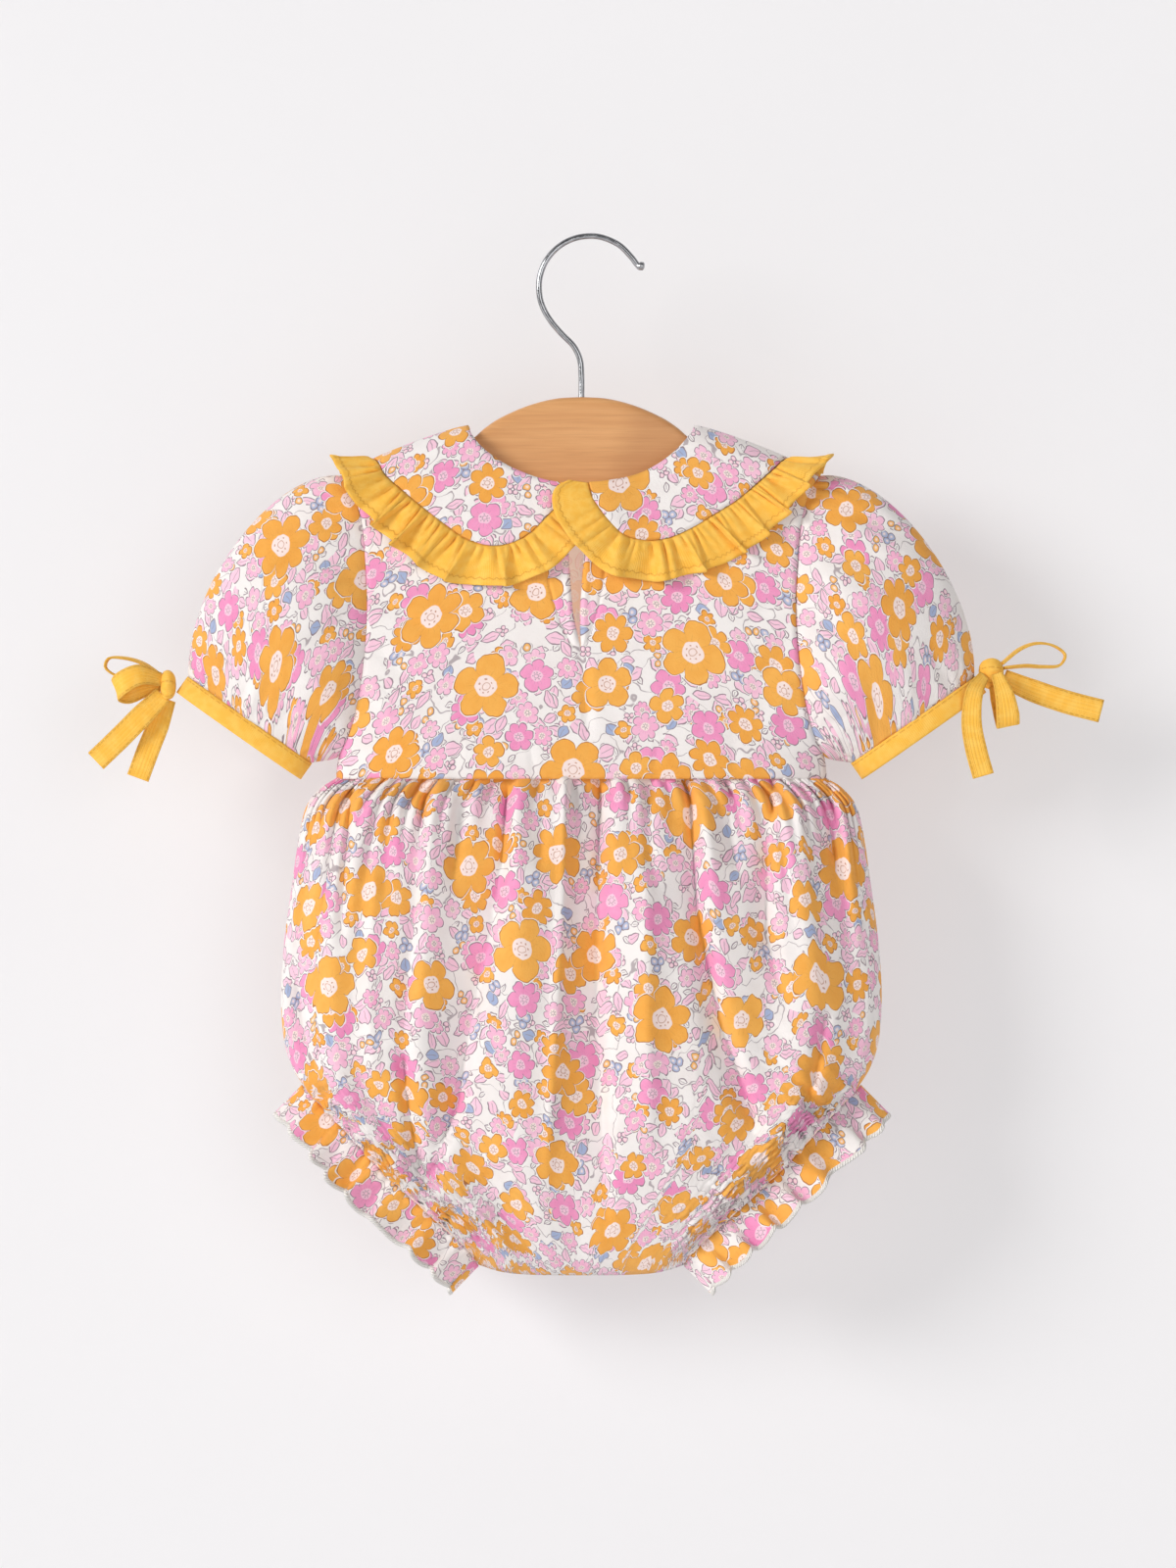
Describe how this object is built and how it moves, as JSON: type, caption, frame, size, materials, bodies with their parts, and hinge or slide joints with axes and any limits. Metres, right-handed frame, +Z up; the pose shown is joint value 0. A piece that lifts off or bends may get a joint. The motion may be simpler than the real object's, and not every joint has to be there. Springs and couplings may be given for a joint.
{
  "type": "baby bubble romper on a clothes hanger",
  "caption": "Short-sleeved baby bubble romper with a frilled round collar and sleeve ties, on a wooden hanger with a wire hook.",
  "frame": {"origin": "under the crown of the hanger's hook, where it rests on a rail", "axes": "+Z up, +X to the right as the back of the garment is looked at, and the back of the garment, with its opening, faces -Y"},
  "size_m": [0.4766, 0.0711, 0.4983],
  "materials": {
    "print_cotton": "matt woven cotton with an all-over flower print on off-white",
    "yellow_trim": "matt fine cotton knit, golden yellow",
    "hanger_wood": "satin, fine-grained light brown wood",
    "hook_chrome": "bright plated wire"
  },
  "bodies": {
    "root": {"bodice_back": "print_cotton", "bodice_front": "print_cotton", "bubble_back": "print_cotton", "bubble_front": "print_cotton", "sleeve_left": "print_cotton", "sleeve_right": "print_cotton", "collar_left": "print_cotton", "collar_right": "print_cotton", "leg_frill_left": "print_cotton", "leg_frill_right": "print_cotton", "collar_frill_left": "yellow_trim", "collar_frill_right": "yellow_trim", "cuff_left": "yellow_trim", "cuff_right": "yellow_trim", "bow_knot_left": "yellow_trim", "bow_knot_right": "yellow_trim", "bow_loop_front_left": "yellow_trim", "bow_loop_rear_left": "yellow_trim", "bow_tail_front_left": "yellow_trim", "bow_tail_rear_left": "yellow_trim", "bow_loop_upper_right": "yellow_trim", "bow_loop_lower_right": "yellow_trim", "bow_tail_inner_right": "yellow_trim", "bow_tail_outer_right": "yellow_trim", "hanger_wood": "hanger_wood", "hanger_hook": "hook_chrome"}
  },
  "joints": []
}
